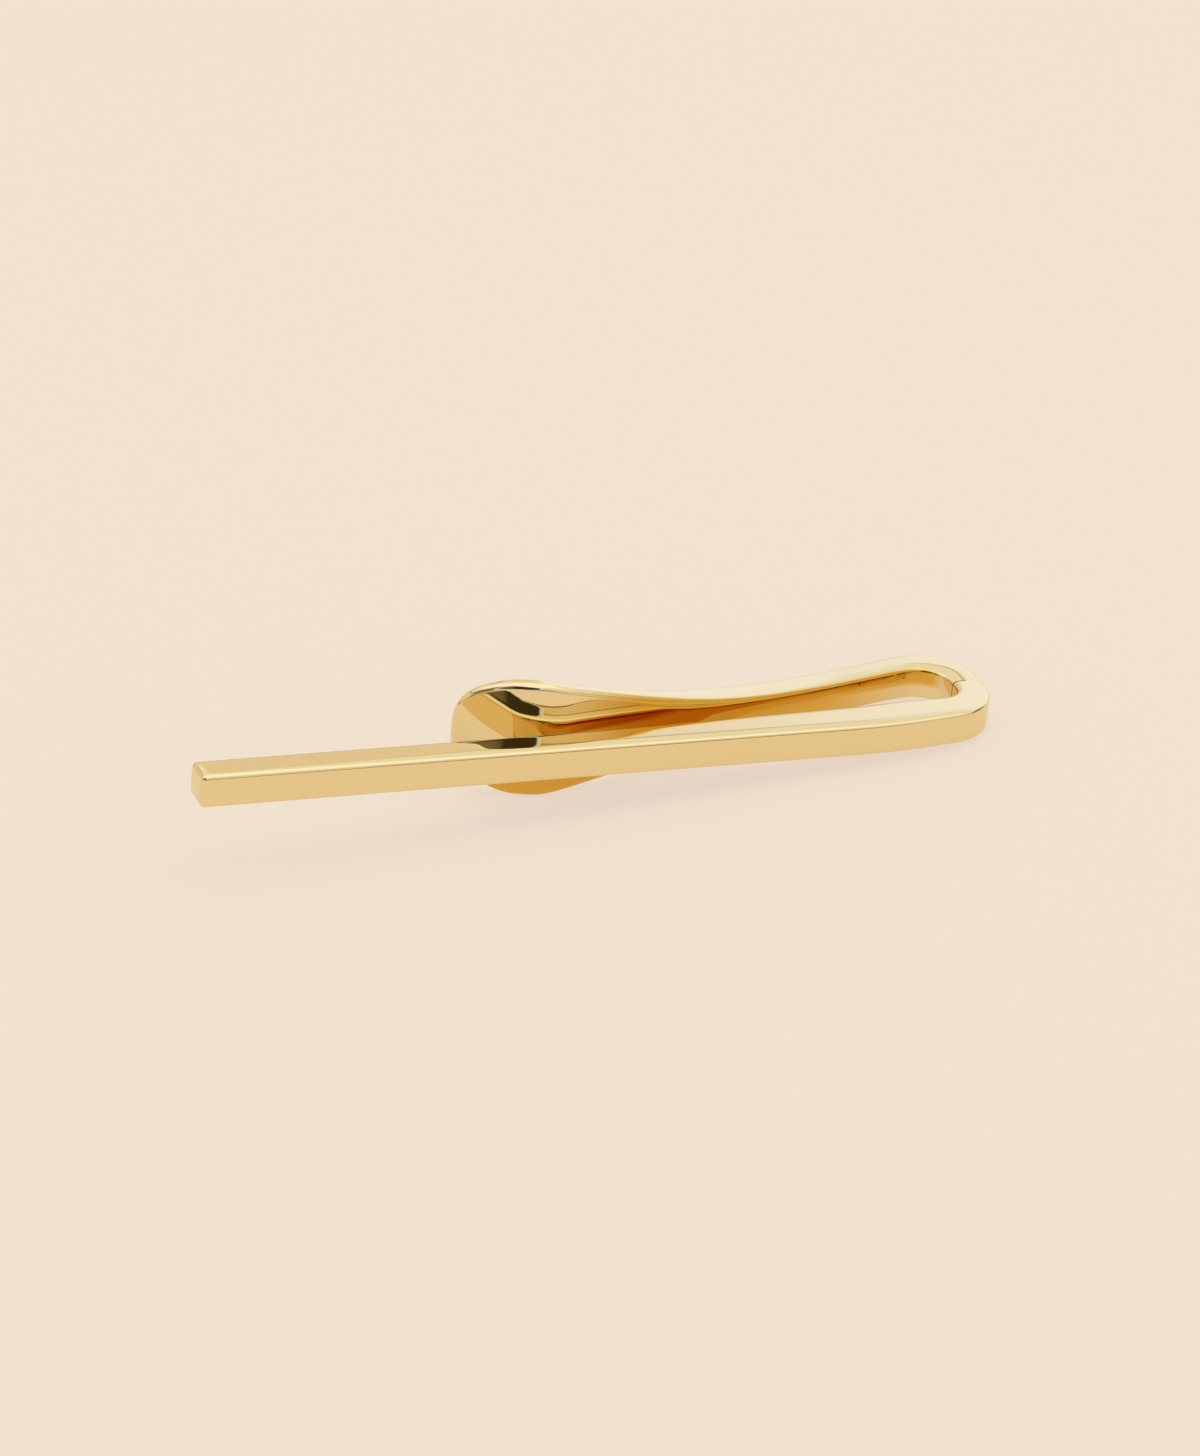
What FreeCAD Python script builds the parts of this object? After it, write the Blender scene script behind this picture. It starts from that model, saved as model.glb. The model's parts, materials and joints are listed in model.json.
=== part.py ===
import FreeCAD, Part
import math
import os

import Sketcher

# Tie slide: a square bar bent into a bow, with a sprung arm that comes back along it and ends in a paddle.
# Each piece is drawn with X along the bar from its free tip, Y from the bar's front face to the back
# and Z from mid-height. The finished clip is then tipped to lie as it rests, on the bow and the paddle.

SIZES = (
    ("clip_length", 55.0, "free tip of the bar to the outside of the bow"),
    ("bar_height", 2.26, "height of the bar, the bow and the plain part of the arm"),
    ("bar_thickness", 2.48, "front face to back face of the bar's plain length"),
    ("edge_radius", 0.35, "polished rounding of every edge"),
    ("swell_run", 28.0, "outside of the bow to the place where the bar starts to thicken"),
    ("swell_angle", 1.97, "slope of the bar's back face from there to the bow, in degrees"),
    ("swell_radius", 120.0, "curve of the back face into that slope"),
    ("lean_angle", 9.0, "how far the front face leans back before the bow, in degrees"),
    ("lean_radius", 40.0, "curve of the front face into that lean"),
    ("lean_run", 1.1303, "straight stretch of the lean, between that curve and the bow's"),
    ("bow_front_radius", 4.0, "outside of the bow on the bar's side"),
    ("throat_radius", 1.7, "inside of the bow on the bar's side"),
    ("bow_inner_radius", 2.0, "inside of the bow on the arm's side"),
    ("bow_flat", 0.7, "straight stretch on the inside of the bow"),
    ("bow_back_radius", 3.2, "outside of the bow on the arm's side"),
    ("bow_back_wall", 2.45, "metal at the very back of the bow"),
    ("seam_thickness", 0.1, "layer of hard solder in the bow"),
    ("seam_clearance", 0.02, "room between the solder and the end of the arm"),
    ("arm_thickness", 2.0, "arm where it meets the bar in the bow"),
    ("shoulder_angle", 14.0, "slope of the arm as it leaves the bow, in degrees"),
    ("shoulder_run", 19.0, "outside of the bow to the bend that ends the shoulder"),
    ("taper_run", 0.7673, "thin straight stretch of the arm's back, from the ridge's curve to the taper"),
    ("blend_radius", 45.0, "curve of the bends that end the shoulder and start the taper"),
    ("ridge_setback", 29.6, "outside of the bow to the ridge, where the arm comes nearest to the bar"),
    ("ridge_gap", 0.8, "back face of the bar to the ridge, with the clip empty"),
    ("ridge_radius", 8.0, "gripping side of the curve that leads over the ridge and along the paddle"),
    ("paddle_thickness", 1.1, "forged thickness of the paddle"),
    ("paddle_angle", 49.5, "how far the paddle has turned away from the bar at its end, in degrees"),
    ("paddle_height", 7.92, "widest part of the paddle, just past the ridge"),
    ("paddle_reach", 0.8, "straight lip at the end of the paddle's curve"),
    ("crown_setback", 3.65, "start of that lip back to the paddle's widest part, in line with the lip"),
    ("crown_flat", 0.1, "level stretch there, along the back of the paddle"),
    ("crown_radius", 5.0, "rounding at both ends of the level stretch"),
    ("nose_angle", 22.5, "narrowing of the paddle towards its end, in degrees"),
    ("nose_radius", 3.0, "rounding of the paddle's end"),
    ("nose_room", 0.1, "least straight stretch left on both sides of that rounding"),
    ("flank_angle", 12.2, "narrowing of the paddle towards the arm, in degrees"),
    ("flare_radius", 83.5, "hollow curve that brings the flanks down to the arm"),
    ("cut_margin", 2.0, "how far the blank reaches past the paddle's outline"),
)

doc = FreeCAD.newDocument("tie_slide")
sheet = doc.addObject("Spreadsheet::Sheet", "sizes")
for row, (alias, value, meaning) in enumerate(SIZES, start=1):
    sheet.set(f"A{row}", meaning)
    sheet.set(f"B{row}", str(value))
    sheet.setAlias(f"B{row}", alias)
doc.recompute()


class Sizes:
    """The sheet's values by name, for the places that the sketches start from."""

    def __getattr__(self, alias):
        return float(sheet.get(alias))


of = Sizes()


def tan(degrees):
    return math.tan(math.radians(degrees))


def point(x, y):
    return FreeCAD.Vector(x, y, 0)


def heading(degrees):
    """Unit vector in the plan, turned from +X towards the back of the clip."""
    return point(math.cos(math.radians(degrees)), math.sin(math.radians(degrees)))


def bearing(vector):
    return math.degrees(math.atan2(vector.y, vector.x))


def meet(point_a, degrees_a, point_b, degrees_b):
    """Where two lines cross, each given by a point and its heading."""
    along_a = heading(degrees_a)
    along_b = heading(degrees_b)
    return point_a + along_a * ((point_b - point_a).cross(along_b).z / along_a.cross(along_b).z)


def grazing(start, centre, radius):
    """Heading of the line from start that just touches a circle on the line's right."""
    apart = centre - start
    return bearing(apart) + math.degrees(math.asin(radius / apart.Length))


def crossing(centre_left, radius_left, centre_right, radius_right):
    """Heading of the line that touches one circle on its left and then another on its right."""
    apart = centre_left - centre_right
    return bearing(apart) - math.degrees(math.acos((radius_left + radius_right) / apart.Length)) - 90


# How a sketch numbers its origin, and the points of a line or arc
ORIGIN = (-1, 1)
START, END, CENTRE = 1, 2, 3


def origin_plane(body, role):
    return [feature for feature in body.Origin.OriginFeatures if feature.Role == role][0]


class Outline:
    """A closed sketch outline, drawn from corners with radii and then dimensioned from the sheet.

    Line i runs from corner i to the next corner, and arc i rounds corner i.
    """

    def __init__(self, body, name, plane, corners):
        self.sketch = body.newObject("Sketcher::SketchObject", name)
        self.sketch.AttachmentSupport = [(origin_plane(body, plane), "")]
        self.sketch.MapMode = "FlatFace"
        self.corners = [corner for corner, radius in corners]
        self.lines = []
        self.arcs = {}
        self.draw(corners)

    def draw(self, corners):
        points = self.corners
        count = len(corners)
        along = [(points[(i + 1) % count] - points[i]).normalize() for i in range(count)]
        starts = list(points)
        ends = list(points)
        rounds = {}
        for i, (corner, radius) in enumerate(corners):
            if radius:
                into, out = along[i - 1], along[i]
                turn = into.getAngle(out)
                ends[i] = corner - into * (radius * math.tan(turn / 2))
                starts[i] = corner + out * (radius * math.tan(turn / 2))
                left = into.cross(out).z > 0
                centre = ends[i] + point(-into.y, into.x) * (radius if left else -radius)
                rounds[i] = (centre, radius, left)
        for i in range(count):
            self.lines.append(self.add(Part.LineSegment(starts[i], ends[(i + 1) % count])))
        for i, (centre, radius, left) in rounds.items():
            first, last = (ends[i], starts[i]) if left else (starts[i], ends[i])
            circle = Part.Circle(centre, FreeCAD.Vector(0, 0, 1), radius)
            angles = [math.radians(bearing(tip - centre)) for tip in (first, last)]
            arc = self.add(Part.ArcOfCircle(circle, *angles))
            entry, leave = (START, END) if left else (END, START)
            self.tie("Tangent", self.lines[i - 1], END, arc, entry)
            self.tie("Tangent", arc, leave, self.lines[i], START)
            self.arcs[i] = arc
        for i in range(count):
            if i not in rounds:
                self.tie("Coincident", self.lines[i - 1], END, self.lines[i], START)

    def add(self, geometry):
        return self.sketch.addGeometry(geometry, False)

    def tie(self, kind, *where):
        return self.sketch.addConstraint(Sketcher.Constraint(kind, *where))

    def tie_all(self, kind, *numbers):
        for number in numbers:
            self.tie(kind, self.lines[number])

    def measure(self, name, formula, kind, *where):
        """Dimension that takes its value from the sheet."""
        value = self.sketch.evalExpression(formula)
        value = float(getattr(value, "Value", value))
        if kind == "Angle":
            value = math.radians(value)
        index = self.tie(kind, *where, value)
        self.sketch.renameConstraint(index, name)
        self.sketch.setExpression(f"Constraints.{name}", formula)

    def sharp_corner(self, number):
        """Point where two lines would cross if the corner between them were not rounded."""
        corner = self.sketch.addGeometry(Part.Point(self.corners[number]), True)
        self.tie("PointOnObject", corner, START, self.lines[number - 1])
        self.tie("PointOnObject", corner, START, self.lines[number])
        return corner


def sharp_edges(shape, seam_y):
    """Names of the edges that polishing rounds: all real corners except those of the soldered end."""
    least_corner = math.radians(20)
    names = []
    for number, edge in enumerate(shape.Edges, start=1):
        middle = edge.valueAt((edge.FirstParameter + edge.LastParameter) / 2)
        faces = shape.ancestorsOfType(edge, Part.Face)
        normals = [face.normalAt(*face.Surface.parameter(middle)) for face in faces]
        on_seam = all(abs(vertex.Y - seam_y) < 1e-4 for vertex in edge.Vertexes)
        if len(normals) == 2 and normals[0].getAngle(normals[1]) > least_corner and not on_seam:
            names.append(f"Edge{number}")
    return names


def polish(body, blank, name, seam_y):
    """Round every edge of a blank but the rim of its soldered end."""
    doc.recompute()
    fillet = body.newObject("PartDesign::Fillet", name)
    fillet.Base = (blank, sharp_edges(blank.Shape, seam_y))
    fillet.setExpression("Radius", "sizes.edge_radius")
    doc.recompute()


def pad_both_ways(body, name, outline, formula):
    pad = body.newObject("PartDesign::Pad", name)
    pad.Profile = outline.sketch
    pad.SideType = "Symmetric"
    pad.setExpression("Length", formula)
    return pad


def trim_both_ways(body, name, outline):
    """Cut an outline through everything in front of and behind its plane."""
    doc.recompute()
    volume = body.Shape.Volume
    pocket = body.newObject("PartDesign::Pocket", name)
    pocket.Profile = outline.sketch
    pocket.SideType = "Symmetric"
    pocket.Type = "ThroughAll"
    doc.recompute()
    if not pocket.Shape.Volume < volume:
        raise RuntimeError(f"{name} cuts nothing")
    return pocket


# Places that the bar and the arm share in the bow
inner_face = of.clip_length - of.arm_thickness
half_flat = (of.bow_flat - of.seam_thickness - of.seam_clearance) / 2
half_flat_formula = "(sizes.bow_flat - sizes.seam_thickness - sizes.seam_clearance) / 2"
swell_corner = of.clip_length - of.swell_run
throat_corner = of.bar_thickness + (inner_face - swell_corner) * tan(of.swell_angle)
throat_end = throat_corner + of.throat_radius * tan((90 - of.swell_angle) / 2)
throat_end_formula = ("sizes.bar_thickness + (sizes.swell_run - sizes.arm_thickness)"
                      " * tan(sizes.swell_angle * 1 deg)"
                      " + sizes.throat_radius * tan(45 deg - sizes.swell_angle * 0.5 deg)")
bow_tangent = of.bow_front_radius * tan((90 - of.lean_angle) / 2)
bow_tangent_formula = "sizes.bow_front_radius * tan(45 deg - sizes.lean_angle * 0.5 deg)"
lean_length = of.lean_radius * tan(of.lean_angle / 2) + of.lean_run + bow_tangent
lean_length_formula = ("(sizes.lean_radius * tan(sizes.lean_angle * 0.5 deg) + sizes.lean_run"
                       f" + {bow_tangent_formula})")
lean_corner = of.clip_length - lean_length * math.cos(math.radians(of.lean_angle))
bow_corner = lean_length * math.sin(math.radians(of.lean_angle))
seam_y = max(throat_end, bow_corner + bow_tangent) + half_flat
seam_y_formula = (f"max({throat_end_formula}; {lean_length_formula} * sin(sizes.lean_angle * 1 deg)"
                  f" + {bow_tangent_formula}) + {half_flat_formula}")


# Front bar: drawn square bar, bent back into the first half of the bow and cut square for soldering
def make_front_bar():
    body = doc.addObject("PartDesign::Body", "front_bar")
    outline = Outline(body, "bar_plan", "XY_Plane", (
        (point(0, 0), 0),
        (point(lean_corner, 0), of.lean_radius),
        (point(of.clip_length, bow_corner), of.bow_front_radius),
        (point(of.clip_length, seam_y), 0),
        (point(inner_face, seam_y), 0),
        (point(inner_face, throat_corner), of.throat_radius),
        (point(swell_corner, of.bar_thickness), of.swell_radius),
        (point(0, of.bar_thickness), 0),
    ))
    front, lean, apex, seam, inside, swell, back, tip = outline.lines
    outline.tie("Coincident", front, START, *ORIGIN)
    outline.tie_all("Horizontal", 0, 3, 6)
    outline.tie_all("Vertical", 2, 4, 7)
    swell_start = outline.sharp_corner(6)
    outline.measure("clip_length", "sizes.clip_length", "DistanceX", *ORIGIN, apex, END)
    outline.measure("bar_thickness", "sizes.bar_thickness", "Distance", tip)
    outline.measure("bow_wall", "sizes.arm_thickness", "Distance", seam)
    outline.measure("lean_run", "sizes.lean_run", "Distance", lean)
    outline.measure("lean_angle", "sizes.lean_angle * 1 deg", "Angle", lean)
    outline.measure("swell_corner", "sizes.clip_length - sizes.swell_run", "DistanceX",
                    *ORIGIN, swell_start, START)
    outline.measure("swell_angle", "sizes.swell_angle * 1 deg - 180 deg", "Angle", swell)
    for corner, radius in ((1, "lean_radius"), (2, "bow_front_radius"), (5, "throat_radius"),
                           (6, "swell_radius")):
        outline.measure(radius, f"sizes.{radius}", "Radius", outline.arcs[corner])
    outline.measure("seam_depth", seam_y_formula, "DistanceY", *ORIGIN, apex, END)
    blank = pad_both_ways(body, "bar_blank", outline, "sizes.bar_height")
    polish(body, blank, "bar_polish", seam_y)
    return body


# Places along the arm, in plan: its bow corner, its two bends and the gripping ridge
arm_y = seam_y + of.seam_thickness + of.seam_clearance
arm_y_formula = "bar_plan.Constraints.seam_depth / 1 mm + sizes.seam_thickness + sizes.seam_clearance"
bow_back_y = arm_y + half_flat + of.bow_inner_radius + of.bow_back_wall
ridge_x = of.clip_length - of.ridge_setback
ridge_centre = point(ridge_x, of.bar_thickness + of.ridge_gap + of.ridge_radius)
shoulder_heading = 180 + of.shoulder_angle
paddle_heading = 180 - of.paddle_angle
paddle_root = ridge_centre + heading(paddle_heading + 90) * of.ridge_radius
ridge_back_radius = of.ridge_radius - of.paddle_thickness
crown_depth = of.ridge_radius - math.sqrt(ridge_back_radius ** 2 - of.crown_setback ** 2)
paddle_back_crown = (paddle_root - heading(paddle_heading) * of.crown_setback
                     + heading(paddle_heading - 90) * crown_depth)
flank_x = paddle_back_crown.x + of.crown_flat
flare_sine, flare_cosine = "sin(sizes.paddle_angle * 1 deg)", "cos(sizes.paddle_angle * 1 deg)"
root_x_formula = f"sizes.clip_length - sizes.ridge_setback - sizes.ridge_radius * {flare_sine}"
root_y_formula = f"sizes.bar_thickness + sizes.ridge_gap + sizes.ridge_radius * (1 - {flare_cosine})"
crown_depth_formula = ("(sizes.ridge_radius - sqrt((sizes.ridge_radius - sizes.paddle_thickness)^2"
                       " - sizes.crown_setback^2))")
flank_x_formula = (f"{root_x_formula} + sizes.crown_setback * {flare_cosine}"
                   f" + {crown_depth_formula} * {flare_sine} + sizes.crown_flat")


def arm_corners():
    """Plan of the arm: up the inside of the bow, along the gripping side, round the paddle and back."""
    inner_start = point(inner_face, arm_y)
    outer_start = point(of.clip_length, arm_y)
    inner_centre = point(inner_face - of.bow_inner_radius, arm_y + half_flat)
    outer_centre = point(of.clip_length - of.bow_back_radius, bow_back_y - of.bow_back_radius)
    shoulder_touch = inner_centre + heading(shoulder_heading - 90) * of.bow_inner_radius
    shoulder_bend = meet(shoulder_touch, shoulder_heading, point(of.clip_length - of.shoulder_run, 0), 90)
    arm_heading = grazing(shoulder_bend, ridge_centre, of.ridge_radius)
    ridge_back = ridge_centre + heading(arm_heading + 90) * ridge_back_radius
    taper_start = ridge_back - heading(arm_heading) * of.taper_run
    taper_centre = taper_start + heading(arm_heading - 90) * of.blend_radius
    outer_heading = crossing(taper_centre, of.blend_radius, outer_centre, of.bow_back_radius)
    taper_end = taper_centre + heading(outer_heading - 90) * of.blend_radius
    paddle_end = paddle_root + heading(paddle_heading) * (of.paddle_reach + of.cut_margin)
    paddle_back = paddle_end + heading(paddle_heading - 90) * of.paddle_thickness
    return (
        (inner_start, 0),
        (meet(inner_start, 90, shoulder_touch, shoulder_heading), of.bow_inner_radius),
        (shoulder_bend, of.blend_radius),
        (meet(shoulder_bend, arm_heading, paddle_root, paddle_heading), of.ridge_radius),
        (paddle_end, 0),
        (paddle_back, 0),
        (meet(paddle_back, paddle_heading, ridge_back, arm_heading), ridge_back_radius),
        (meet(taper_start, arm_heading, taper_end, outer_heading), of.blend_radius),
        (meet(taper_end, outer_heading, outer_start, 90), of.bow_back_radius),
        (outer_start, 0),
    )


def draw_arm_plan(body):
    outline = Outline(body, "arm_plan", "XY_Plane", arm_corners())
    inside, shoulder, arm, paddle, end, paddle_back, arm_back, shoulder_back, apex, seam = outline.lines
    outline.tie_all("Vertical", 0, 8)
    outline.tie_all("Horizontal", 9)
    outline.tie("Perpendicular", paddle, end)
    outline.tie("Parallel", paddle, paddle_back)
    outline.tie("Parallel", arm, arm_back)
    shoulder_bend = outline.sharp_corner(2)
    outline.measure("clip_length", "sizes.clip_length", "DistanceX", *ORIGIN, apex, END)
    outline.measure("seam_end", arm_y_formula, "DistanceY", *ORIGIN, apex, END)
    outline.measure("bow_wall", "sizes.arm_thickness", "Distance", seam)
    outline.measure("half_flat", half_flat_formula, "Distance", inside)
    outline.measure("bow_back", f"{arm_y_formula} + {half_flat_formula} + sizes.bow_inner_radius"
                    " + sizes.bow_back_wall - sizes.bow_back_radius",
                    "DistanceY", *ORIGIN, outline.arcs[8], CENTRE)
    outline.measure("shoulder_angle", "sizes.shoulder_angle * 1 deg - 180 deg", "Angle", shoulder)
    outline.measure("shoulder_bend", "sizes.clip_length - sizes.shoulder_run", "DistanceX",
                    *ORIGIN, shoulder_bend, START)
    outline.measure("taper_run", "sizes.taper_run", "Distance", arm_back)
    outline.measure("ridge_x", "sizes.clip_length - sizes.ridge_setback", "DistanceX",
                    *ORIGIN, outline.arcs[3], CENTRE)
    outline.measure("ridge_y", "sizes.bar_thickness + sizes.ridge_gap + sizes.ridge_radius", "DistanceY",
                    *ORIGIN, outline.arcs[3], CENTRE)
    outline.measure("paddle_angle", "180 deg - sizes.paddle_angle * 1 deg", "Angle", paddle)
    outline.measure("paddle_blank", "sizes.paddle_reach + sizes.cut_margin", "Distance", paddle)
    outline.measure("paddle_thickness", "sizes.paddle_thickness", "Distance", end)
    outline.measure("arm_end_thickness", "sizes.paddle_thickness", "Distance", arm_back, START, arm)
    for corner, radius in ((1, "bow_inner_radius"), (2, "blend_radius"), (3, "ridge_radius"),
                           (8, "bow_back_radius")):
        outline.measure(radius, f"sizes.{radius}", "Radius", outline.arcs[corner])
    outline.measure("ridge_back_radius", "sizes.ridge_radius - sizes.paddle_thickness", "Radius",
                    outline.arcs[6])
    outline.measure("taper_radius", "sizes.blend_radius", "Radius", outline.arcs[7])
    return outline


def draw_flank_trim(body):
    """Side view of what is forged away above the arm, from the ridge to the bow."""
    half_paddle = of.paddle_height / 2
    flank_corner = flank_x + of.crown_radius * tan(of.flank_angle / 2)
    flare_corner = flank_corner + (of.paddle_height - of.bar_height) / 2 / tan(of.flank_angle)
    left = ridge_x - of.ridge_radius - of.cut_margin
    right = of.clip_length + of.cut_margin
    top = half_paddle + of.cut_margin
    outline = Outline(body, "flank_trim", "XZ_Plane", (
        (point(left, half_paddle), 0),
        (point(flank_corner, half_paddle), of.crown_radius),
        (point(flare_corner, of.bar_height / 2), of.flare_radius),
        (point(right, of.bar_height / 2), 0),
        (point(right, top), 0),
        (point(left, top), 0),
    ))
    crown, flank, arm, right_side, top_side, left_side = outline.lines
    outline.tie_all("Horizontal", 0, 2, 4)
    outline.tie_all("Vertical", 3, 5)
    outline.measure("half_paddle", "sizes.paddle_height / 2", "DistanceY", *ORIGIN, crown, START)
    outline.measure("half_arm", "sizes.bar_height / 2", "DistanceY", *ORIGIN, arm, END)
    outline.measure("left", "sizes.clip_length - sizes.ridge_setback - sizes.ridge_radius"
                    " - sizes.cut_margin", "DistanceX", *ORIGIN, crown, START)
    outline.measure("right", "sizes.clip_length + sizes.cut_margin", "DistanceX", *ORIGIN, arm, END)
    outline.measure("top", "sizes.paddle_height / 2 + sizes.cut_margin", "DistanceY",
                    *ORIGIN, top_side, START)
    outline.measure("flank_x", flank_x_formula, "DistanceX", *ORIGIN, outline.arcs[1], CENTRE)
    outline.measure("flank_angle", "-sizes.flank_angle * 1 deg", "Angle", flank)
    outline.measure("crown_radius", "sizes.crown_radius", "Radius", outline.arcs[1])
    outline.measure("flare_radius", "sizes.flare_radius", "Radius", outline.arcs[2])
    return outline


# Corners of the paddle's end, seen square to its lip and measured back from the start of the lip
crown_tangent = of.crown_radius * tan(of.nose_angle / 2)
crown_tangent_formula = "sizes.crown_radius * tan(sizes.nose_angle * 0.5 deg)"
crown_corner = of.crown_setback - crown_tangent
nose_length = of.paddle_reach + crown_corner
nose_length_formula = f"(sizes.paddle_reach + sizes.crown_setback - {crown_tangent_formula})"
nose_corner = of.paddle_height / 2 - nose_length * tan(of.nose_angle)
nose_corner_formula = f"sizes.paddle_height / 2 - {nose_length_formula} * tan(sizes.nose_angle * 1 deg)"
nose_side = nose_length / math.cos(math.radians(of.nose_angle)) - crown_tangent
nose_side_formula = f"{nose_length_formula} / cos(sizes.nose_angle * 1 deg) - {crown_tangent_formula}"
nose_radius = min(of.nose_radius,
                  (min(nose_side, nose_corner) - of.nose_room) / tan((90 - of.nose_angle) / 2))
nose_radius_formula = (f"min(sizes.nose_radius; (min({nose_side_formula}; {nose_corner_formula})"
                       " - sizes.nose_room) / tan(45 deg - sizes.nose_angle * 0.5 deg))")


def draw_nose_trim(body):
    """What is cut away round the paddle's end."""
    half_paddle = of.paddle_height / 2
    top = half_paddle + of.cut_margin
    near = of.crown_setback + of.cut_margin
    outline = Outline(body, "nose_trim", "XZ_Plane", (
        (point(near, half_paddle), 0),
        (point(crown_corner, half_paddle), of.crown_radius),
        (point(-of.paddle_reach, nose_corner), nose_radius),
        (point(-of.paddle_reach, -of.cut_margin), 0),
        (point(-of.paddle_reach - of.cut_margin, -of.cut_margin), 0),
        (point(-of.paddle_reach - of.cut_margin, top), 0),
        (point(near, top), 0),
    ))
    crown, side, tip, below, far_side, above, near_side = outline.lines
    outline.sketch.AttachmentOffset = FreeCAD.Placement(
        FreeCAD.Vector(paddle_root.x, 0, -paddle_root.y),
        FreeCAD.Rotation(FreeCAD.Vector(0, -1, 0), of.paddle_angle))
    outline.sketch.setExpression("AttachmentOffset.Base.x", root_x_formula)
    outline.sketch.setExpression("AttachmentOffset.Base.z", f"-({root_y_formula})")
    outline.sketch.setExpression("AttachmentOffset.Rotation.Angle", "sizes.paddle_angle * 1 deg")
    outline.tie_all("Horizontal", 0, 3, 5)
    outline.tie_all("Vertical", 2, 4, 6)
    outline.measure("near", "sizes.crown_setback + sizes.cut_margin", "DistanceX", *ORIGIN, crown, START)
    outline.measure("half_paddle", "sizes.paddle_height / 2", "DistanceY", *ORIGIN, crown, START)
    outline.measure("crown_setback", "sizes.crown_setback", "DistanceX", *ORIGIN, outline.arcs[1], CENTRE)
    outline.measure("crown_radius", "sizes.crown_radius", "Radius", outline.arcs[1])
    outline.measure("nose_radius", nose_radius_formula, "Radius", outline.arcs[2])
    outline.measure("nose_angle", "sizes.nose_angle * 1 deg - 180 deg", "Angle", side)
    outline.measure("reach", "sizes.paddle_reach", "DistanceX", tip, END, *ORIGIN)
    outline.measure("below", "sizes.cut_margin", "DistanceY", tip, END, *ORIGIN)
    outline.measure("far", "sizes.cut_margin", "Distance", below)
    outline.measure("top", "sizes.paddle_height / 2 + sizes.cut_margin", "DistanceY", *ORIGIN, above, START)
    return outline


# Spring arm: forged from one square blank, thinned and spread into a paddle past the gripping ridge
def make_spring_arm():
    body = doc.addObject("PartDesign::Body", "spring_arm")
    pad_both_ways(body, "arm_blank", draw_arm_plan(body), "sizes.paddle_height + 2 * sizes.cut_margin")
    flank = trim_both_ways(body, "flank_cut", draw_flank_trim(body))
    nose = trim_both_ways(body, "nose_cut", draw_nose_trim(body))
    lower_half = body.newObject("PartDesign::Mirrored", "lower_cuts")
    lower_half.Originals = [flank, nose]
    lower_half.MirrorPlane = (origin_plane(body, "XY_Plane"), [""])
    body.Tip = lower_half
    polish(body, lower_half, "arm_polish", arm_y)
    return body


# Solder seam: the layer of hard solder between the two halves of the bow, flush with both
def make_solder_seam():
    body = doc.addObject("PartDesign::Body", "solder_seam")
    half_height = of.bar_height / 2
    outline = Outline(body, "seam_section", "XZ_Plane", (
        (point(inner_face, -half_height), of.edge_radius),
        (point(of.clip_length, -half_height), of.edge_radius),
        (point(of.clip_length, half_height), of.edge_radius),
        (point(inner_face, half_height), of.edge_radius),
    ))
    bottom, outside, top, inside = outline.lines
    outline.sketch.AttachmentOffset = FreeCAD.Placement(FreeCAD.Vector(0, 0, -seam_y), FreeCAD.Rotation())
    outline.sketch.setExpression("AttachmentOffset.Base.z", "-bar_plan.Constraints.seam_depth")
    outline.tie_all("Horizontal", 0, 2)
    outline.tie_all("Vertical", 1, 3)
    outline.measure("clip_length", "sizes.clip_length", "DistanceX", *ORIGIN, outside, START)
    outline.measure("bow_wall", "sizes.arm_thickness", "DistanceX", inside, START, outside, START)
    outline.measure("half_height", "sizes.bar_height / 2", "DistanceY", *ORIGIN, top, START)
    outline.measure("bar_height", "sizes.bar_height", "DistanceY", bottom, START, top, START)
    for number, arc in outline.arcs.items():
        outline.measure(f"edge_radius_{number}", "sizes.edge_radius", "Radius", arc)
    layer = body.newObject("PartDesign::Pad", "solder_layer")
    layer.Profile = outline.sketch
    layer.Reversed = True
    layer.setExpression("Length", "sizes.seam_thickness")
    return body


def resting_pitch():
    """Angle, in degrees, at which the bow's lower edge and the paddle's lower crown touch one plane."""
    crown = FreeCAD.Vector(flank_x, 0, of.crown_radius - of.paddle_height / 2)
    bow_edge = FreeCAD.Vector(of.clip_length - of.edge_radius, 0, of.edge_radius - of.bar_height / 2)
    apart = bow_edge - crown
    return math.degrees(math.asin((of.crown_radius - of.edge_radius) / apart.Length)
                        + math.atan2(apart.z, apart.x))


def lay_down(bodies):
    """Tip the clip to its resting pitch, over the middle of its own footprint."""
    tip = FreeCAD.Placement(FreeCAD.Vector(), FreeCAD.Rotation(FreeCAD.Vector(0, 1, 0), resting_pitch()))
    clip = Part.makeCompound([body.Shape for body in bodies])
    clip.Placement = tip
    box = clip.optimalBoundingBox(False, False)
    tip.Base = FreeCAD.Vector(-box.Center.x, -box.Center.y, -box.ZMin)
    for body in bodies:
        body.Placement = tip
    doc.recompute()


def check(bodies):
    for item in doc.Objects:
        if {"Invalid", "Error"} & set(item.State):
            raise RuntimeError(f"{item.Name} failed: {item.State}")
    for body in bodies:
        if body.Shape.isNull() or not body.Shape.isValid() or len(body.Shape.Solids) != 1:
            raise RuntimeError(f"{body.Label} is not one sound solid")


pieces = [make_front_bar(), make_spring_arm(), make_solder_seam()]
doc.recompute()
check(pieces)
lay_down(pieces)
check(pieces)
os.makedirs("parts", exist_ok=True)
for piece in pieces:
    piece.Shape.exportStep(f"parts/{piece.Label}.step")
    print(f"{piece.Label}: {piece.Shape.Volume:.2f} mm3")
print(f"resting pitch: {resting_pitch():.3f} degrees")
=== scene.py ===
import json
import math

import bmesh
import bpy
from mathutils import Matrix, Vector


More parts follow.
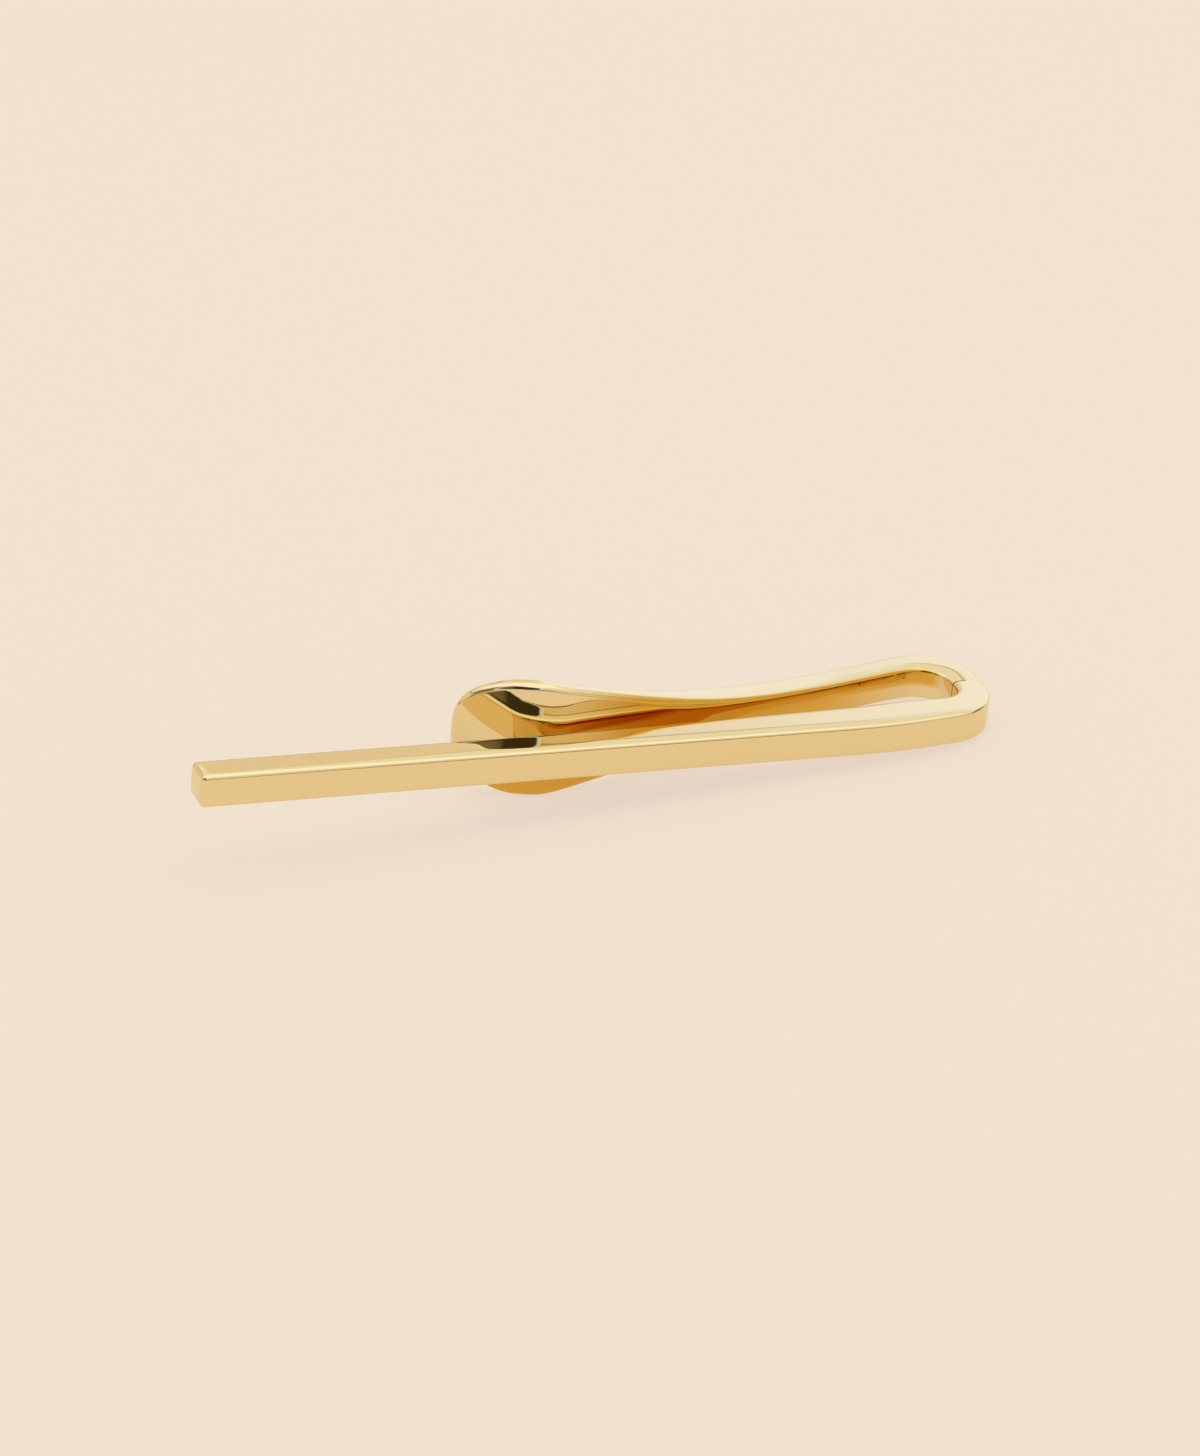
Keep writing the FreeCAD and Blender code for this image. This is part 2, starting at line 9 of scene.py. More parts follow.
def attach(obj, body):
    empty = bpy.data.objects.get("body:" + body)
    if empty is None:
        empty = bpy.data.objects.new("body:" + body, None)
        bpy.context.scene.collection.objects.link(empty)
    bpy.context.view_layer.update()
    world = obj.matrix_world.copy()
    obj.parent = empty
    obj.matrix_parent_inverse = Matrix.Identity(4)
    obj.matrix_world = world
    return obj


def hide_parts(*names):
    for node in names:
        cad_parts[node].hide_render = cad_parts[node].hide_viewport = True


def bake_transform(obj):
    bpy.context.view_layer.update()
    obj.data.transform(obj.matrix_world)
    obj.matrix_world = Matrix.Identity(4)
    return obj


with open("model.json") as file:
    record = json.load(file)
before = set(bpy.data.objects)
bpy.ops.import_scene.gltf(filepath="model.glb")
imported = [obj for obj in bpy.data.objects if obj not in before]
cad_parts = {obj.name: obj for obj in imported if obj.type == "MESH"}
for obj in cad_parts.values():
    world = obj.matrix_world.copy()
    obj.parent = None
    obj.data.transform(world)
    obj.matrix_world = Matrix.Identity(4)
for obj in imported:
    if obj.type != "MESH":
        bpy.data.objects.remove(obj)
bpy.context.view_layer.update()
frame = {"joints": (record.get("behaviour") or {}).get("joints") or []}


# Front bar: the long square bar that shows on the tie, with the first half of the bow. It is drawn
# brass, a little thicker towards the bow, bent round and cut square where the arm is soldered on. The
# edges are rounded on a buffing wheel, and the bar is plated with pale gold and polished like a mirror.
mm = 0.001
clip_length = 55.0 * mm
bar_height = 2.26 * mm
bar_thickness = 2.48 * mm
edge_radius = 0.35 * mm
swell_run = 28.0 * mm
swell_slope = math.tan(math.radians(1.97))
swell_radius = 120.0 * mm
lean_run = 7.6 * mm
lean_slope = math.tan(math.radians(9.0))
lean_radius = 40.0 * mm
bow_front_radius = 4.0 * mm
bow_wall = 2.0 * mm
throat_radius = 1.7 * mm
half_bow_flat = 0.29 * mm
line_step = 0.5 * mm
arc_step = math.radians(2.5)
shoulder_tilt = math.radians(14.0)
front_shoulder = 0.75 * mm
front_shoulder_starts = -8.0 * mm
front_shoulder_full = 30.0 * mm
back_shoulder = 0.6 * mm
back_shoulder_starts = 50.0 * mm
back_shoulder_full = 44.0 * mm
side_drop = 0.3 * mm
tight_round = 0.2 * mm
edge_steps = 5
face_rows = 4
tip_steps = 8
overshoot = 1.0 * mm
sharp_angle = math.radians(50.0)
weld_gap = 1e-8


def plan(x, y):
    return Vector((x, y, 0))


class Path:
    """A line of straight runs and tangent arcs, from corner points with a radius each."""

    same_spot = 1e-7
    parallel = 1e-15
    end_slack = 1e-4
    side_slack = 1e-9
    least_reach = 1e-6

    def __init__(self, *corners):
        points = [point for point, radius in corners]
        self.pieces = []
        start = points[0]
        for before, (corner, radius), after in zip(points, corners[1:], points[2:]):
            into, out = (corner - before).normalized(), (after - corner).normalized()
            reach = radius * math.tan(into.angle(out) / 2)
            side = math.copysign(1, into.cross(out).z)
            first, last = corner - into * reach, corner + out * reach
            centre = first + plan(-into.y, into.x) * radius * side
            self.pieces.append(("run", start, first))
            self.pieces.append(("arc", first, last, centre, radius * side, corner))
            start = last
        self.pieces.append(("run", start, points[-1]))

    def stations(self, last_run=True):
        """Evenly stepped points on the path, each with the direction to the path's right."""
        found = []
        for piece in self.pieces if last_run else self.pieces[:-1]:
            first, last = piece[1], piece[2]
            if piece[0] == "run":
                steps = max(1, math.ceil((last - first).length / line_step))
                way = (last - first).normalized()
                found += [(first.lerp(last, i / steps), plan(way.y, -way.x)) for i in range(steps + 1)]
            else:
                centre, radius = piece[3], piece[4]
                turn = (first - centre).angle(last - centre)
                steps = max(2, math.ceil(turn / arc_step))
                swing = math.copysign(turn, radius)
                for i in range(steps + 1):
                    spoke = Matrix.Rotation(swing * i / steps, 3, "Z") @ (first - centre)
                    found.append((centre + spoke, spoke.normalized() * math.copysign(1, radius)))
        return found[:1] + [late for early, late in zip(found, found[1:])
                            if (late[0] - early[0]).length > self.same_spot]

    def hit(self, origin, way):
        """Nearest point of the path in one direction from an origin."""
        reaches = []
        for piece in self.pieces:
            first, last = piece[1], piece[2]
            if piece[0] == "run":
                run = last - first
                crossing = way.cross(run).z
                if abs(crossing) > self.parallel:
                    share = (first - origin).cross(way).z / crossing
                    if -self.end_slack <= share <= 1 + self.end_slack:
                        reaches.append((first - origin).cross(run).z / crossing)
            else:
                centre, radius, corner = piece[3], piece[4], piece[5]
                along = (centre - origin).dot(way)
                square = radius ** 2 - (centre - origin).length_squared + along ** 2
                middle = first.lerp(last, 0.5)
                for sign in (-1, 1):
                    reach = along + sign * math.sqrt(max(square, 0))
                    bulge = (origin + way * reach - middle).dot(corner - middle)
                    if square >= 0 and bulge > -self.side_slack:
                        reaches.append(reach)
        return origin + way * min(reach for reach in reaches if reach > self.least_reach)


def buffed_edge(top_run, side_run, tight):
    """Edge as the wheel leaves it: a shallow shoulder on each face with a tight round between them.

    Points from the side face up to the top face, each with its distances from those two faces.
    """
    side_radius = max(side_run / math.sin(shoulder_tilt), tight)
    top_radius = max(top_run / math.sin(shoulder_tilt), tight)
    across, up = 0.0, 0.0
    points = [(across, up)]
    bends = ((0, shoulder_tilt, side_radius), (shoulder_tilt, math.pi / 2 - shoulder_tilt, tight),
             (math.pi / 2 - shoulder_tilt, math.pi / 2, top_radius))
    for first, last, radius in bends:
        for i in range(1, edge_steps + 1):
            turn = first + (last - first) * i / edge_steps
            points.append((across + radius * (math.cos(first) - math.cos(turn)),
                           up + radius * (math.sin(turn) - math.sin(first))))
        across, up = points[-1]
    return [(reach, up - rise) for reach, rise in points]


def smooth_share(place, none_at, full_at):
    """Share that grows smoothly from 0 to 1 between two places."""
    share = min(max((place - none_at) / (full_at - none_at), 0), 1)
    return share * share * (3 - 2 * share)


def bar_section(half_width, half_height, front_edge, back_edge):
    """Closed outline of the bar's section, across and up, with plain rows between its four edges."""
    edges = (
        [(half_width - reach, half_height - drop) for reach, drop in back_edge],
        [(reach - half_width, half_height - drop) for reach, drop in reversed(front_edge)],
        [(reach - half_width, drop - half_height) for reach, drop in front_edge],
        [(half_width - reach, drop - half_height) for reach, drop in reversed(back_edge)],
    )
    outline = []
    for edge, following in zip(edges, edges[1:] + edges[:1]):
        outline += edge
        here, there = Vector(edge[-1]), Vector(following[0])
        outline += [tuple(here.lerp(there, row / face_rows)) for row in range(1, face_rows)]
    return outline


def weave(rings, mesh, closed=True):
    """Skin of four-sided faces over rows of points."""
    grid = [[mesh.verts.new(spot) for spot in ring] for ring in rings]
    for low, high in zip(grid, grid[1:]):
        count = len(low)
        for i in range(count if closed else count - 1):
            mesh.faces.new((low[i], low[(i + 1) % count], high[(i + 1) % count], high[i]))
    return grid


def finish_mesh(name, mesh, material):
    """Weld a skin, turn it outwards and keep the cut for the solder sharp."""
    bmesh.ops.remove_doubles(mesh, verts=mesh.verts, dist=weld_gap)
    bmesh.ops.recalc_face_normals(mesh, faces=mesh.faces)
    for face in mesh.faces:
        face.smooth = True
    for edge in mesh.edges:
        edge.smooth = edge.calc_face_angle(0) < sharp_angle
    mesh.transform(clip_place)
    data = bpy.data.meshes.new(name)
    mesh.to_mesh(data)
    mesh.free()
    piece = bpy.data.objects.new(name, data)
    bpy.context.scene.collection.objects.link(piece)
    data.materials.append(material)
    return piece


inner_face = clip_length - bow_wall
throat_corner = bar_thickness + (inner_face - clip_length + swell_run) * swell_slope
throat_turn = math.pi / 2 - math.atan(swell_slope)
seam_y = throat_corner + throat_radius * math.tan(throat_turn / 2) + half_bow_flat
solder_room = 0.12 * mm
arm_y = seam_y + solder_room
hinge = frame["joints"][0]
clip_up = -Vector(hinge["axis"])
clip_across = Vector((0, 1, 0))
clip_along = clip_across.cross(clip_up)
clip_origin = Vector(hinge["pos_m"]) - clip_along * clip_length - clip_across * arm_y
clip_turn = Matrix((clip_along, clip_across, clip_up)).transposed()
clip_place = Matrix.Translation(clip_origin) @ clip_turn.to_4x4()

bar_front = Path(
    (plan(-overshoot, 0), 0),
    (plan(clip_length - lean_run, 0), lean_radius),
    (plan(clip_length, lean_run * lean_slope), bow_front_radius),
    (plan(clip_length, seam_y + overshoot), 0),
)
bar_back = Path(
    (plan(0, bar_thickness), 0),
    (plan(clip_length - swell_run, bar_thickness), swell_radius),
    (plan(inner_face, throat_corner), throat_radius),
    (plan(inner_face, seam_y), 0),
)


def worn_edge(shoulder, worn, taper):
    """Edge of the bar: a plain round where the wheel left it alone, and a shoulder where it wore it."""
    tight = (edge_radius + (tight_round - edge_radius) * worn) * taper
    return buffed_edge(shoulder * worn, side_drop * worn, tight)


def bar_ring(back, way, inset, taper=1.0):
    """Ring round the bar at a place on its back. The shoulders of its edges run out round the bow."""
    front = bar_front.hit(back, way)
    middle = front.lerp(back, 0.5)
    across = (back - front).normalized()
    along_front = smooth_share(front.x, front_shoulder_starts, front_shoulder_full)
    front_edge = worn_edge(front_shoulder, along_front * smooth_share(front.y, seam_y, 0), taper)
    along_back = smooth_share(back.x, back_shoulder_starts, back_shoulder_full)
    back_edge = worn_edge(back_shoulder, along_back, taper)
    half_width = (back - front).length / 2 - inset
    section = bar_section(half_width, bar_height / 2 - inset, front_edge, back_edge)
    return [middle + across * u + Vector((0, 0, v)) for u, v in section]


def bar_rings():
    """Rings along the bar, from its rounded tip to the cut in the bow."""
    rings = []
    for i in range(tip_steps):
        turn = i / tip_steps * math.pi / 2
        spot = plan(edge_radius * (1 - math.cos(turn)), bar_thickness)
        rings.append(bar_ring(spot, plan(0, -1), edge_radius * (1 - math.sin(turn)), math.sin(turn)))
    return rings + [bar_ring(back, way, 0) for back, way in bar_back.stations() if back.x >= edge_radius]


def node_group(name, inputs, outputs):
    """Empty shader group with named sockets."""
    group = bpy.data.node_groups.new(name, "ShaderNodeTree")
    for label, kind, value in inputs:
        socket = group.interface.new_socket(label, in_out="INPUT", socket_type=kind)
        socket.default_value = value
    for label, kind in outputs:
        group.interface.new_socket(label, in_out="OUTPUT", socket_type=kind)
    return group, group.nodes.new("NodeGroupInput"), group.nodes.new("NodeGroupOutput")


def add_node(tree, kind, inputs=(), **settings):
    """Shader node with its settings, and its unlinked inputs by name or number."""
    node = tree.nodes.new(kind)
    for key, value in settings.items():
        setattr(node, key, value)
    for key, value in dict(inputs).items():
        node.inputs[key].default_value = value
    return node


pale_gold = (0.885, 0.73, 0.40, 1)
drifted_gold = (0.87, 0.70, 0.36, 1)
polish = 0.03
hairline_dullness = 0.03
hairline_strength = 0.02
hairline_depth = 0.01 * mm


def make_buffed_plating():
    """Gold that a wheel has buffed along the bar: faint drifts of colour, hairlines and their depth."""
    group, given, result = node_group(
        "buffed_plating",
        [("Gold", "NodeSocketColor", pale_gold), ("Drifted Gold", "NodeSocketColor", drifted_gold),
         ("Polish", "NodeSocketFloat", polish), ("Hairlines", "NodeSocketFloat", hairline_dullness)],
        [("Color", "NodeSocketColor"), ("Roughness", "NodeSocketFloat"), ("Height", "NodeSocketFloat")])
    link = group.links.new
    place = add_node(group, "ShaderNodeTexCoord")
    drift = add_node(group, "ShaderNodeTexNoise", inputs={"Scale": 160.0, "Detail": 3.0})
    link(place.outputs["Object"], drift.inputs["Vector"])
    drift_range = add_node(group, "ShaderNodeMapRange",
                           inputs={"From Min": 0.35, "From Max": 0.75, "To Max": 0.35})
    link(drift.outputs["Fac"], drift_range.inputs["Value"])
    tint = add_node(group, "ShaderNodeMix", data_type="RGBA")
    link(drift_range.outputs["Result"], tint.inputs["Factor"])
    link(given.outputs["Gold"], tint.inputs["A"])
    link(given.outputs["Drifted Gold"], tint.inputs["B"])
    link(tint.outputs["Result"], result.inputs["Color"])
    stretch = add_node(group, "ShaderNodeMapping", inputs={"Scale": (90.0, 5000.0, 5000.0)})
    link(place.outputs["Object"], stretch.inputs["Vector"])
    lines = add_node(group, "ShaderNodeTexNoise", inputs={"Scale": 1.0, "Detail": 4.0, "Roughness": 0.6})
    link(stretch.outputs["Vector"], lines.inputs["Vector"])
    line_range = add_node(group, "ShaderNodeMapRange", inputs={"From Min": 0.45, "From Max": 0.8})
    link(lines.outputs["Fac"], line_range.inputs["Value"])
    dull = add_node(group, "ShaderNodeMath", operation="MULTIPLY_ADD")
    link(line_range.outputs["Result"], dull.inputs[0])
    link(given.outputs["Hairlines"], dull.inputs[1])
    link(given.outputs["Polish"], dull.inputs[2])
    link(dull.outputs["Value"], result.inputs["Roughness"])
    link(lines.outputs["Fac"], result.inputs["Height"])
    return group


buffed_plating = make_buffed_plating()


def plated_gold(name):
    """Mirror-polished plating with the buffed group's colour, polish and hairlines."""
    material = bpy.data.materials.new(name)
    material.use_nodes = True
    tree = material.node_tree
    shader = tree.nodes["Principled BSDF"]
    shader.inputs["Metallic"].default_value = 1.0
    buffed = add_node(tree, "ShaderNodeGroup", node_tree=buffed_plating,
                      inputs={"Gold": pale_gold, "Drifted Gold": drifted_gold, "Polish": polish,
                              "Hairlines": hairline_dullness})
    bump = add_node(tree, "ShaderNodeBump",
                    inputs={"Strength": hairline_strength, "Distance": hairline_depth})
    tree.links.new(buffed.outputs["Color"], shader.inputs["Base Color"])
    tree.links.new(buffed.outputs["Roughness"], shader.inputs["Roughness"])
    tree.links.new(buffed.outputs["Height"], bump.inputs["Height"])
    tree.links.new(bump.outputs["Normal"], shader.inputs["Normal"])
    return material


bar_gold = plated_gold("bar_gold")
bar_mesh = bmesh.new()
bar_skin = weave(bar_rings(), bar_mesh)
bar_mesh.faces.new(bar_skin[0])
bar_mesh.faces.new(bar_skin[-1])
polished_bar = finish_mesh("polished_bar", bar_mesh, bar_gold)
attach(polished_bar, "bar")
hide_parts("front_bar")


# Solder seam: the thin layer of hard gold solder that joins the two halves of the bow. It is filed flush
# with the bar, buffed and plated with the rest. Its inner half, inside the bow, is painted dark: a fine
# line of painted shade for the step where the arm meets the bow.
solder_end = seam_y + 0.11 * mm
seam_shade_end = clip_length - 1.1 * mm
seam_shade_fade = 0.1 * mm
seam_shade_colour = (0.16, 0.10, 0.03, 1)
solder_gold = plated_gold("solder_gold")


def make_clip_measure():
    """Mask that grows along one direction of the clip, between two places."""
    group, given, result = node_group(
        "clip_measure",
        [("Way", "NodeSocketVector", clip_along), ("None At", "NodeSocketFloat", 0.0),
         ("Full At", "NodeSocketFloat", clip_length)],
        [("Mask", "NodeSocketFloat")])
    link = group.links.new
    place = add_node(group, "ShaderNodeTexCoord")
    along = add_node(group, "ShaderNodeVectorMath", operation="DOT_PRODUCT")
    link(place.outputs["Object"], along.inputs[0])
    link(given.outputs["Way"], along.inputs[1])
    grown = add_node(group, "ShaderNodeMapRange", interpolation_type="SMOOTHSTEP")
    link(along.outputs["Value"], grown.inputs["Value"])
    link(given.outputs["None At"], grown.inputs["From Min"])
    link(given.outputs["Full At"], grown.inputs["From Max"])
    link(grown.outputs["Result"], result.inputs["Mask"])
    return group


def make_painted_light_plating():
    """Plating with painted light or shade laid over it where a mask is full."""
    group, given, result = node_group(
        "painted_light_plating",
        [("Plating", "NodeSocketColor", pale_gold), ("Painted Light", "NodeSocketColor", seam_shade_colour),
         ("Mask", "NodeSocketFloat", 0.0)],
        [("Color", "NodeSocketColor")])
    link = group.links.new
    laid = add_node(group, "ShaderNodeMix", data_type="RGBA")
    link(given.outputs["Mask"], laid.inputs["Factor"])
    link(given.outputs["Plating"], laid.inputs["A"])
    link(given.outputs["Painted Light"], laid.inputs["B"])
    link(laid.outputs["Result"], result.inputs["Color"])
    return group


clip_measure = make_clip_measure()
painted_light_plating = make_painted_light_plating()


def measured(tree, way, none_at, full_at):
    """The measuring mask placed in a material, between two places in the clip's own sizes."""
    base = clip_origin.dot(way)
    mask = add_node(tree, "ShaderNodeGroup", node_tree=clip_measure,
                    inputs={"Way": way, "None At": base + none_at, "Full At": base + full_at})
    return mask.outputs["Mask"]


def paint_over(material, mask, colour):
    """Lay painted light or shade over a material's plating where the mask is full."""
    tree = material.node_tree
    shader = tree.nodes["Principled BSDF"]
    painted_over = add_node(tree, "ShaderNodeGroup", node_tree=painted_light_plating, inputs={"Painted Light": colour})
    tree.links.new(mask, painted_over.inputs["Mask"])
    tree.links.new(shader.inputs["Base Color"].links[0].from_socket, painted_over.inputs["Plating"])
    tree.links.new(painted_over.outputs["Color"], shader.inputs["Base Color"])


# Painted shade: the solder's inner half, inside the bow, is painted dark for the shade in the step at
# the joint.
painted_seam_shade = measured(solder_gold.node_tree, clip_along, none_at=seam_shade_end + seam_shade_fade,
                       full_at=seam_shade_end - seam_shade_fade)
paint_over(solder_gold, painted_seam_shade, seam_shade_colour)
solder_ring = bar_ring(*bar_back.stations()[-1], 0)
solder_mesh = bmesh.new()
solder_skin = weave([[spot + plan(0, (solder_end - seam_y) * share) for spot in solder_ring]
                     for share in (0, 0.5, 1)], solder_mesh)
solder_mesh.faces.new(solder_skin[0])
solder_mesh.faces.new(solder_skin[-1])
filed_solder = finish_mesh("filed_solder", solder_mesh, solder_gold)
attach(filed_solder, "bar")
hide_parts("solder_seam")


# Spring arm: the second half of the bow and the springy tongue that presses the tie against the bar. It
# is forged from one square blank: thinned along its length, bent over a ridge and spread into a rounded
# paddle. It is soldered to the bar in the bow, and plated and polished with it.
shoulder_heading = math.radians(180 + 14.0)
shoulder_run = 19.0 * mm
taper_run = 24.2 * mm
blend_radius = 45.0 * mm
bow_inner_radius = 2.0 * mm
bow_back_radius = 3.5 * mm
bow_back_wall = 2.2 * mm
ridge_setback = 29.6 * mm
ridge_gap = 0.8 * mm
ridge_radius = 8.0 * mm
paddle_thickness = 1.1 * mm
ridge_back_radius = ridge_radius - paddle_thickness
paddle_heading = math.radians(180 - 49.5)
paddle_height = 7.92 * mm
paddle_reach = 0.8 * mm
flat_end_start = -2.6 * mm
flat_end_radius = 20.0 * mm
crown_setback = 3.65 * mm
crown_flat = 0.1 * mm
crown_radius = 5.0 * mm
nose_slope = math.tan(math.radians(22.5))
nose_radius = 3.0 * mm
flank_slope = math.tan(math.radians(12.2))
flare_radius = 83.5 * mm
arm_shoulder_share = 0.36
arm_shoulder_starts = 27.0 * mm
arm_shoulder_full = 37.0 * mm
bow_shoulder_share = 0.48
bow_shoulder_starts = 52.0 * mm
bow_shoulder_full = 53.0 * mm
arm_side_drop = 0.85 * mm
side_drop_starts = 51.5 * mm
side_drop_full = 49.5 * mm
paddle_round = 0.45 * mm
arm_rows = 12


def toward(heading):
    return plan(math.cos(heading), math.sin(heading))


def meet(point_a, way_a, point_b, way_b):
    """Where two lines cross, each from a point and its direction."""
    return point_a + way_a * ((point_b - point_a).cross(way_b).z / way_a.cross(way_b).z)


def grazing(start, centre, radius):
    """Direction of the line from start that just touches a circle on the line's right."""
    apart = centre - start
    return toward(math.atan2(apart.y, apart.x) + math.asin(radius / apart.length))


def right_of(way):
    return plan(way.y, -way.x)


up_plan = plan(0, 1)
shoulder_way = toward(shoulder_heading)
paddle_way = toward(paddle_heading)
ridge_centre = plan(clip_length - ridge_setback, bar_thickness + ridge_gap + ridge_radius)
paddle_root = ridge_centre - right_of(paddle_way) * ridge_radius
bow_inner_centre = plan(inner_face - bow_inner_radius, arm_y + half_bow_flat)
bow_back_y = bow_inner_centre.y + bow_inner_radius + bow_back_wall
bow_back_centre = plan(clip_length - bow_back_radius, bow_back_y - bow_back_radius)
shoulder_touch = bow_inner_centre + right_of(shoulder_way) * bow_inner_radius
shoulder_bend = meet(shoulder_touch, shoulder_way, plan(clip_length - shoulder_run, 0), up_plan)
arm_way = grazing(shoulder_bend, ridge_centre, ridge_radius)
arm_outside = shoulder_bend + right_of(arm_way) * paddle_thickness
taper_bend = meet(arm_outside, arm_way, plan(clip_length - taper_run, 0), up_plan)
shoulder_back_way = grazing(taper_bend, bow_back_centre, bow_back_radius)
paddle_back = paddle_root + right_of(paddle_way) * paddle_thickness


def paddle_spot(reach, depth):
    """Place on the curved paddle: along its lip from the lip's start, at a depth from the gripping side.

    Its end is hammered a little flatter than the ridge's curve.
    """
    bend = min(reach, 0)
    grip = ridge_radius - math.sqrt(ridge_radius ** 2 - bend ** 2)
    back = ridge_radius - math.sqrt(ridge_back_radius ** 2 - bend ** 2)
    spot = grip + (back - grip) * depth / paddle_thickness
    flat = reach - flat_end_start
    if flat > 0:
        rise = math.sqrt(ridge_radius ** 2 - flat_end_start ** 2)
        flatter = ridge_radius - rise + flat * flat_end_start / rise + flat ** 2 / (2 * flat_end_radius)
        spot += flatter - grip
    return paddle_root + paddle_way * reach + right_of(paddle_way) * spot


gripping_side = Path(
    (plan(inner_face, solder_end), 0),
    (meet(plan(inner_face, 0), up_plan, shoulder_touch, shoulder_way), bow_inner_radius),
    (shoulder_bend, blend_radius),
    (meet(shoulder_bend, arm_way, paddle_root, paddle_way), ridge_radius),
    (paddle_root, 0),
)
back_side = Path(
    (plan(clip_length, arm_y - overshoot), 0),
    (meet(plan(clip_length, 0), up_plan, taper_bend, shoulder_back_way), bow_back_radius),
    (taper_bend, blend_radius),
    (meet(arm_outside, arm_way, paddle_back, paddle_way), ridge_back_radius),
    (paddle_back + paddle_way * paddle_reach, 0),
)
flank_x = paddle_spot(-crown_setback, paddle_thickness).x + crown_flat
flank_corner = flank_x + crown_radius * math.tan(math.atan(flank_slope) / 2)
flare_corner = flank_corner + (paddle_height - bar_height) / 2 / flank_slope
flank_line = Path(
    (plan(0, paddle_height / 2), 0),
    (plan(flank_corner, paddle_height / 2), crown_radius),
    (plan(flare_corner, bar_height / 2), flare_radius),
    (plan(clip_length + overshoot, bar_height / 2), 0),
)
crown_corner = crown_radius * math.tan(math.atan(nose_slope) / 2) - crown_setback
nose_corner = paddle_height / 2 - (paddle_reach - crown_corner) * nose_slope
nose_line = Path(
    (plan(-crown_setback, paddle_height / 2), 0),
    (plan(crown_corner, paddle_height / 2), crown_radius),
    (plan(paddle_reach, nose_corner), nose_radius),
    (plan(paddle_reach, 0), 0),
)


def flank_height(x):
    """Half the height of the arm or paddle at a place along the clip."""
    return flank_line.hit(plan(x, 0), up_plan).y


def rim_profile(thickness, x):
    """The rim across the arm's thickness: depth from the gripping side, and inset from the outline.

    The gripping side's edge has wide shoulders from the bow to the thin arm, and is round at the paddle.
    """
    wide = smooth_share(x, arm_shoulder_starts, arm_shoulder_full)
    in_bow = smooth_share(x, bow_shoulder_starts, bow_shoulder_full)
    share = arm_shoulder_share + (bow_shoulder_share - arm_shoulder_share) * in_bow
    tight = paddle_round + (tight_round - paddle_round) * wide
    drop = arm_side_drop * wide * smooth_share(x, side_drop_starts, side_drop_full)
    front = buffed_edge(thickness * share * wide, drop, tight)
    back = buffed_edge(0, 0, edge_radius)
    return front + [(thickness - depth, inset) for depth, inset in reversed(back)]


def eased_rows(first, last):
    """Shares of the way across a broad face, closer together towards its edges."""
    return [0.5 - 0.5 * math.cos(math.pi * row / arm_rows) for row in range(first, last)]


def arm_ring(place_top):
    """Ring round the arm, from the lower rim up the gripping side, over the top and down the back."""
    top = [place_top(depth, inset) for depth, inset in place_top.rim]
    bottom = [Vector((spot.x, spot.y, -spot.z)) for spot in reversed(top)]
    shares = eased_rows(1, arm_rows)
    front = [bottom[-1].lerp(top[0], share) for share in shares]
    back = [top[-1].lerp(bottom[0], share) for share in shares]
    return front + top + back + bottom


class PlainPlace:
    """Places points on a section across the arm, between the bow and the paddle's widest part."""

    def __init__(self, inside, way):
        self.inside = inside
        outside = back_side.hit(inside, way)
        self.way = way
        self.rim = rim_profile((outside - inside).length, inside.x)

    def __call__(self, depth, inset):
        spot = self.inside + self.way * depth
        return Vector((spot.x, spot.y, flank_height(spot.x) - inset))


class NosePlace:
    """Places points square to the paddle's outline, from its widest part round to its end."""

    def __init__(self, outline, inward):
        self.outline = outline
        self.inward = inward
        self.rim = rim_profile(paddle_thickness, 0)

    def __call__(self, depth, inset):
        reach, height, _ = self.outline + self.inward * inset
        spot = paddle_spot(reach, depth)
        return Vector((spot.x, spot.y, height))


# Painted reflection and shade: a deeper gold painted on the gripping side. It stands in for gold
# mirrored back and forth in the gap, and for the shaded floor below it.
painted_reflection_gold = (0.76, 0.44, 0.065, 1)
arm_gold = plated_gold("arm_gold")


def joined(tree, operation, one, other):
    """Two masks joined into one."""
    both = add_node(tree, "ShaderNodeMath", operation=operation)
    tree.links.new(one, both.inputs[0])
    tree.links.new(other, both.inputs[1])
    return both.outputs["Value"]


def facing_bar(tree):
    """Mask of the faces that look at the bar."""
    surface = add_node(tree, "ShaderNodeNewGeometry")
    toward_bar = add_node(tree, "ShaderNodeVectorMath", operation="DOT_PRODUCT",
                          inputs={1: -clip_across})
    tree.links.new(surface.outputs["Normal"], toward_bar.inputs[0])
    facing = add_node(tree, "ShaderNodeMapRange", inputs={"From Min": 0.3, "From Max": 0.5})
    tree.links.new(toward_bar.outputs["Value"], facing.inputs["Value"])
    return facing.outputs["Result"]


def painted_gap_reflection(tree):
    """Mask of the gripping side where a deeper gold is painted, as painted reflection of gold mirrored
    between the faces and painted shade.

    That is in the narrow gap, below the bar at the paddle, and in the upper half of the bow.
    """
    narrow_gap = joined(tree, "MULTIPLY",
                        measured(tree, clip_along, none_at=53 * mm, full_at=43 * mm),
                        measured(tree, clip_along, none_at=25 * mm, full_at=31 * mm))
    under_bar = joined(tree, "MULTIPLY",
                       measured(tree, clip_along, none_at=31 * mm, full_at=27 * mm),
                       measured(tree, clip_up, none_at=-1.6 * mm, full_at=-2.3 * mm))
    inside_bow = joined(tree, "MULTIPLY",
                        measured(tree, clip_along, none_at=52.9 * mm, full_at=52.3 * mm),
                        measured(tree, clip_along, none_at=40 * mm, full_at=46 * mm))
    under_rim = joined(tree, "MULTIPLY", inside_bow,
                       measured(tree, clip_up, none_at=-0.3 * mm, full_at=0.2 * mm))
    recess = joined(tree, "MAXIMUM", joined(tree, "MAXIMUM", narrow_gap, under_bar), under_rim)
    return joined(tree, "MULTIPLY", recess, facing_bar(tree))
